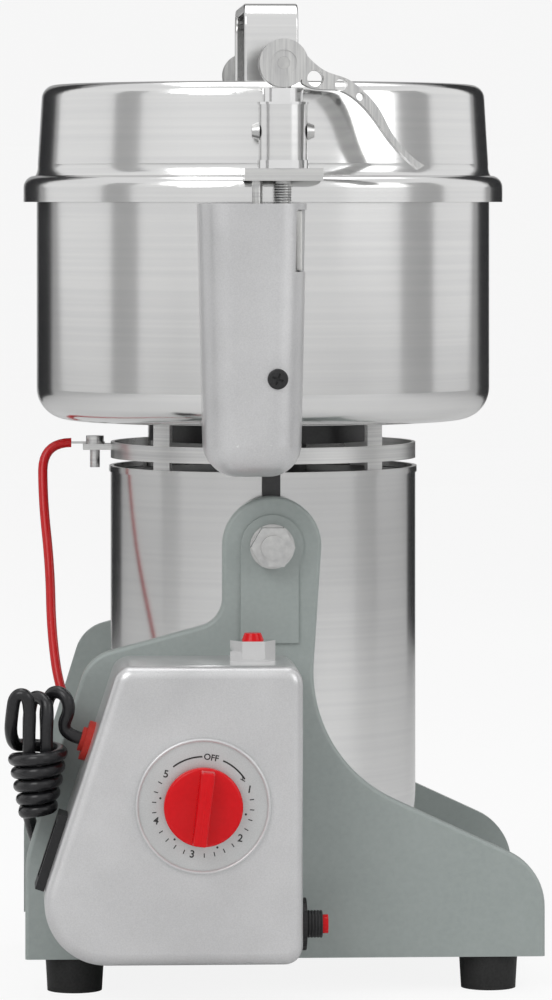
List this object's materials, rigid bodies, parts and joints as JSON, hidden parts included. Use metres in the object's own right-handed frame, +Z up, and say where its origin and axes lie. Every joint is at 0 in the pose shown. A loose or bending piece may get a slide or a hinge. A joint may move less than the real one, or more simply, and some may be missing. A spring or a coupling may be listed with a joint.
{
  "type": "electric grain mill",
  "caption": "Tilting bowl mill: polished bowl and clamped lid over a motor tube, hung between two side frames, with a timer control box.",
  "frame": {"origin": "centre of the bounding box on the ground, without the mains cord", "axes": "+Z up, -Y towards the timer dial, +X to the right of someone facing the dial"},
  "size_m": [0.2676, 0.3206, 0.488],
  "materials": {
    "cast_paint": "satin grey-green paint",
    "silver_paint": "metallic silver paint",
    "polished_steel": "mirror polished stainless steel",
    "steel": "bright steel",
    "lamination": "dark laminated steel",
    "copper": "enamelled copper winding",
    "cast_alloy": "black painted alloy",
    "black_plastic": "matt black plastic",
    "white_plastic": "white nylon",
    "red_plastic": "gloss red plastic",
    "rubber": "black rubber",
    "cord_black": "black PVC cord",
    "lead_red": "red sleeve"
  },
  "bodies": {
    "base": {"front_side_frame": "cast_paint", "rear_side_frame": "cast_paint", "base_floor": "cast_paint", "floor_screws": "steel", "rubber_feet": "rubber", "control_box": "silver_paint", "dial_plate": "silver_paint", "timer_body": "black_plastic", "lamp_bezel": "polished_steel", "lamp_lens": "red_plastic", "breaker_body": "black_plastic", "breaker_nut": "black_plastic", "rocker_housing": "black_plastic", "strain_relief": "red_plastic", "lead_bush": "red_plastic", "mains_cord_hank": "cord_black", "mains_cord_tail": "cord_black", "mains_plug": "cord_black", "red_lead": "lead_red"},
    "mill": {"trunnion_brackets": "steel", "trunnion_studs": "steel", "trunnion_nuts": "steel", "bowl": "polished_steel", "shaft_seal": "rubber", "motor_housing": "polished_steel", "upper_bracket": "cast_alloy", "lower_bracket": "cast_alloy", "motor_bearings": "steel", "stator_core": "lamination", "field_coils": "copper", "brush_gear": "black_plastic", "mount_straps": "steel", "clamp_band": "steel", "lead_terminal": "steel", "front_latch_cover": "silver_paint", "rear_latch_cover": "silver_paint", "cover_screws": "steel", "rod_guides": "white_plastic", "safety_switch": "black_plastic"},
    "lid_and_clamps": {"lid": "polished_steel", "lid_seal": "rubber", "lid_handle": "polished_steel", "lid_lugs": "steel", "clamp_rods": "steel", "clamp_washers": "steel", "clamp_bodies": "steel", "clamp_screws": "steel", "lever_pins": "steel"},
    "front_lever": {"front_cam_lever": "steel"},
    "rear_lever": {"rear_cam_lever": "steel"},
    "rotor": {"rotor_shaft": "steel", "armature_core": "lamination", "commutator": "copper", "cooling_fan": "cast_alloy", "blade_stack": "steel", "blade_nut": "steel"},
    "knob": {"timer_knob": "red_plastic"},
    "rocker": {"rocker_button": "black_plastic"},
    "reset": {"reset_button": "red_plastic"},
    "plunger": {"switch_plunger": "white_plastic"}
  },
  "joints": [
    {"name": "mill_tilt", "type": "hinge", "parent": "base", "child": "mill", "pos_m": [-0.00675, 0.0125, 0.2195], "axis": [0, 1, 0], "range_deg": [0, 95], "deforming": ["red_lead"]},
    {"name": "lid_lift", "type": "slide", "parent": "mill", "child": "lid_and_clamps", "axis": [0, 0, 1], "range_m": [0, 0.14]},
    {"name": "front_lever_turn", "type": "hinge", "parent": "lid_and_clamps", "child": "front_lever", "pos_m": [-0.00335, -0.1165, 0.456], "axis": [0, -1, 0], "range_deg": [0, 110]},
    {"name": "rear_lever_turn", "type": "hinge", "parent": "lid_and_clamps", "child": "rear_lever", "pos_m": [-0.01015, 0.1415, 0.456], "axis": [0, -1, 0], "range_deg": [0, 110]},
    {"name": "rotor_spin", "type": "hinge", "parent": "mill", "child": "rotor", "pos_m": [-0.00675, 0.0125, 0.2], "axis": [0, 0, 1], "continuous": true},
    {"name": "timer_turn", "type": "hinge", "parent": "base", "child": "knob", "pos_m": [-0.04305, -0.1475, 0.099], "axis": [0, 1, 0], "range_deg": [0, 300]},
    {"name": "rocker_press", "type": "hinge", "parent": "base", "child": "rocker", "pos_m": [-0.11341, -0.1105, 0.074], "axis": [0, 1, 0], "range_deg": [0, 12]},
    {"name": "reset_press", "type": "slide", "parent": "base", "child": "reset", "axis": [-1, 0, 0], "range_m": [0, 0.0025], "stiffness_N_per_m": 400, "springref_m": -0.003},
    {"name": "plunger_press", "type": "slide", "parent": "mill", "child": "plunger", "axis": [0, 0, -1], "range_m": [0, 0.001], "stiffness_N_per_m": 300, "springref_m": -0.003}
  ]
}
